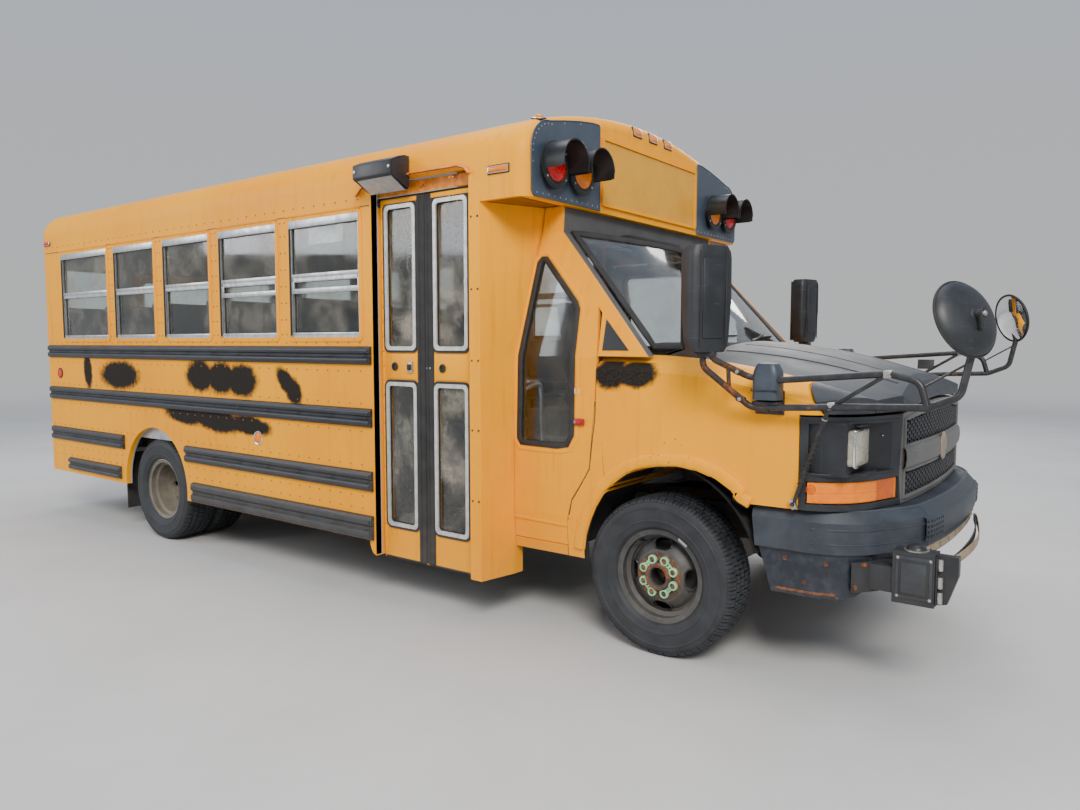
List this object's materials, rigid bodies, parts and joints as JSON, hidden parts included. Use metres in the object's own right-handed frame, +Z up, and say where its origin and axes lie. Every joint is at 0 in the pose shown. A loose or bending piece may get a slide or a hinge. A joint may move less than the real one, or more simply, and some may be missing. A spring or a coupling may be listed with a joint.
{
  "type": "short school bus",
  "caption": "Short yellow bus on a cutaway van chassis with split entry door, hood, twin rear wheels, benches and tube-mounted mirrors.",
  "frame": {"origin": "on the ground under the middle of the whole vehicle, midway between its front and rear ends and its two sides", "axes": "+X towards the front, +Y to the bus's left, +Z up"},
  "size_m": [7.3658, 2.63, 2.7],
  "materials": {
    "black_paint": "weathered satin",
    "hood_black": "faded satin black",
    "yellow_paint": "faded gloss",
    "frame_aluminium": "satin",
    "clear_glass": "clear",
    "grey_plastic": "weathered grained",
    "bumper_plastic": "weathered grained",
    "lamp_plastic": "lens",
    "tyre_rubber": "dusty",
    "flap_rubber": "dusty",
    "wheel_steel": "dusty dark, rust",
    "seat_vinyl": "grained vinyl",
    "bench_steel": "satin",
    "floor_covering": "ribbed",
    "cast_parts": "dusty",
    "tank_steel": "stained",
    "red_sign": "gloss"
  },
  "bodies": {
    "bus_body": {"bench_cushions": "seat_vinyl", "bench_frames": "bench_steel", "body_floor": "floor_covering", "bumper_steel": "black_paint", "cab_glass": "clear_glass", "cab_shell": "yellow_paint", "cab_side_right": "yellow_paint", "chassis_frame": "black_paint", "crossing_arm_unit": "black_paint", "dash": "grey_plastic", "driver_seat": "seat_vinyl", "driveshaft": "cast_parts", "engine_block": "cast_parts", "entry_jamb": "yellow_paint", "exhaust": "tank_steel", "fenders": "yellow_paint", "front_bulkheads": "yellow_paint", "front_bumper": "bumper_plastic", "front_cap": "yellow_paint", "front_suspension": "cast_parts", "fuel_tank": "tank_steel", "grille": "grey_plastic", "lamps": "lamp_plastic", "mirrors": "black_paint", "mudflaps": "flap_rubber", "rear_axle": "cast_parts", "rear_bumper": "black_paint", "rear_wall": "yellow_paint", "roof": "yellow_paint", "rub_rails": "black_paint", "side_panel_left": "yellow_paint", "side_panel_right": "yellow_paint", "side_window_frames": "frame_aluminium", "side_window_glass": "clear_glass", "steering_wheel": "black_paint", "stop_arm_mount": "black_paint"},
    "wheel_front_left": {"tyre_front_left": "tyre_rubber", "rim_front_left": "wheel_steel"},
    "wheel_front_right": {"tyre_front_right": "tyre_rubber", "rim_front_right": "wheel_steel"},
    "wheels_rear_left": {"tyres_rear_left": "tyre_rubber", "rims_rear_left": "wheel_steel"},
    "wheels_rear_right": {"tyres_rear_right": "tyre_rubber", "rims_rear_right": "wheel_steel"},
    "knuckle_left": {"knuckle_left": "cast_parts"},
    "knuckle_right": {"knuckle_right": "cast_parts"},
    "tie_rod": {"tie_rod": "cast_parts"},
    "entry_door_front": {"entry_door_front": "yellow_paint", "entry_door_front_glass": "clear_glass"},
    "entry_door_rear": {"entry_door_rear": "yellow_paint", "entry_door_rear_glass": "clear_glass"},
    "driver_door": {"driver_door": "yellow_paint", "driver_door_glass": "clear_glass"},
    "hood": {"hood": "hood_black"},
    "rear_door": {"rear_door": "yellow_paint", "rear_door_glass": "clear_glass"},
    "stop_arm": {"stop_arm": "red_sign"}
  },
  "joints": [
    {"name": "steer_left", "type": "hinge", "parent": "bus_body", "child": "knuckle_left", "pos_m": [2.342, 0.727, 0.375], "axis": [0, 0, 1], "range_deg": [-32, 32]},
    {"name": "spin_front_left", "type": "hinge", "parent": "knuckle_left", "child": "wheel_front_left", "pos_m": [2.342, 0.874, 0.375], "axis": [0, 1, 0], "continuous": true},
    {"name": "spin_rear_left", "type": "hinge", "parent": "bus_body", "child": "wheels_rear_left", "pos_m": [-1.697, 0.947, 0.375], "axis": [0, 1, 0], "continuous": true},
    {"name": "steer_right", "type": "hinge", "parent": "bus_body", "child": "knuckle_right", "pos_m": [2.342, -0.727, 0.375], "axis": [0, 0, 1], "range_deg": [-32, 32]},
    {"name": "spin_front_right", "type": "hinge", "parent": "knuckle_right", "child": "wheel_front_right", "pos_m": [2.342, -0.874, 0.375], "axis": [0, 1, 0], "continuous": true},
    {"name": "spin_rear_right", "type": "hinge", "parent": "bus_body", "child": "wheels_rear_right", "pos_m": [-1.697, -0.947, 0.375], "axis": [0, 1, 0], "continuous": true},
    {"name": "tie_rod_slide", "type": "slide", "parent": "bus_body", "child": "tie_rod", "axis": [0, 1, 0], "range_m": [-0.087, 0.087]},
    {"name": "entry_door_front_hinge", "type": "hinge", "parent": "bus_body", "child": "entry_door_front", "pos_m": [1.368, -1.142, 1.245], "axis": [0, 0, 1], "range_deg": [0, 90]},
    {"name": "entry_door_rear_hinge", "type": "hinge", "parent": "bus_body", "child": "entry_door_rear", "pos_m": [0.721, -1.142, 1.245], "axis": [0, 0, -1], "range_deg": [0, 90]},
    {"name": "driver_door_hinge", "type": "hinge", "parent": "bus_body", "child": "driver_door", "pos_m": [2.002, 1.005, 1.2], "axis": [0, 0, -1], "range_deg": [0, 70]},
    {"name": "hood_hinge", "type": "hinge", "parent": "bus_body", "child": "hood", "pos_m": [2.439, 0, 1.474], "axis": [0, -1, 0], "range_deg": [0, 50]},
    {"name": "rear_door_hinge", "type": "hinge", "parent": "bus_body", "child": "rear_door", "pos_m": [-3.517, -0.451, 1.4], "axis": [0, 0, 1], "range_deg": [0, 110]},
    {"name": "stop_arm_hinge", "type": "hinge", "parent": "bus_body", "child": "stop_arm", "pos_m": [0.562, 1.274, 1.21], "axis": [0, 0, -1], "range_deg": [0, 90]}
  ],
  "couplings": [
    {"joint": "steer_right", "follows": "steer_left", "ratio": 1},
    {"joint": "tie_rod_slide", "follows": "steer_left", "m_per_rad": -0.155},
    {"joint": "entry_door_rear_hinge", "follows": "entry_door_front_hinge", "ratio": 1}
  ]
}
